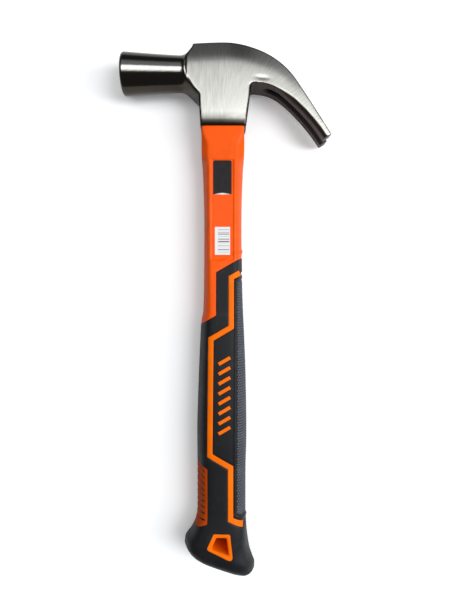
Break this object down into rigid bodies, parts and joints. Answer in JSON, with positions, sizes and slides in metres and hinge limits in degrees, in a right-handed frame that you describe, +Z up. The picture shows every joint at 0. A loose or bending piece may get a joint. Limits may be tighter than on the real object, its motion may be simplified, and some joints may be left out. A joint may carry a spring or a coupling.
{
  "type": "claw hammer",
  "caption": "Claw hammer with a forged steel head, split nail claw, round striking face and a moulded two-colour handle with a soft grip and hanging hole.",
  "frame": {"origin": "middle of the lowest face of the box round the whole hammer as it lies on its side", "axes": "+Y up the handle towards the head, +X towards the claw's tip (the striking face looks to -X), +Z up, across the hammer's thickness"},
  "size_m": [0.1302, 0.3296, 0.0284],
  "materials": {
    "head_steel": "brushed cheeks and claw, polished poll",
    "epoxy": "glossy amber resin",
    "fibreglass": "drawn glass-fibre rod",
    "orange_plastic": "glossy moulded plastic",
    "black_rubber": "satin soft-touch rubber",
    "orange_rubber": "satin soft-touch rubber",
    "rib_rubber": "ribbed soft-touch rubber",
    "textured_rubber": "soft rubber with a fine moulded scale texture",
    "label_film": "printed gloss film"
  },
  "bodies": {
    "root": {"head": "head_steel", "eye_resin": "epoxy", "fibreglass_core": "fibreglass", "handle_jacket": "orange_plastic", "soft_grip": "black_rubber", "near_stripe": "orange_rubber", "far_stripe": "orange_rubber", "grip_bars": "orange_rubber", "finger_pad": "rib_rubber", "palm_strip": "textured_rubber", "hang_hole_liner": "orange_rubber", "label": "label_film"}
  },
  "joints": []
}
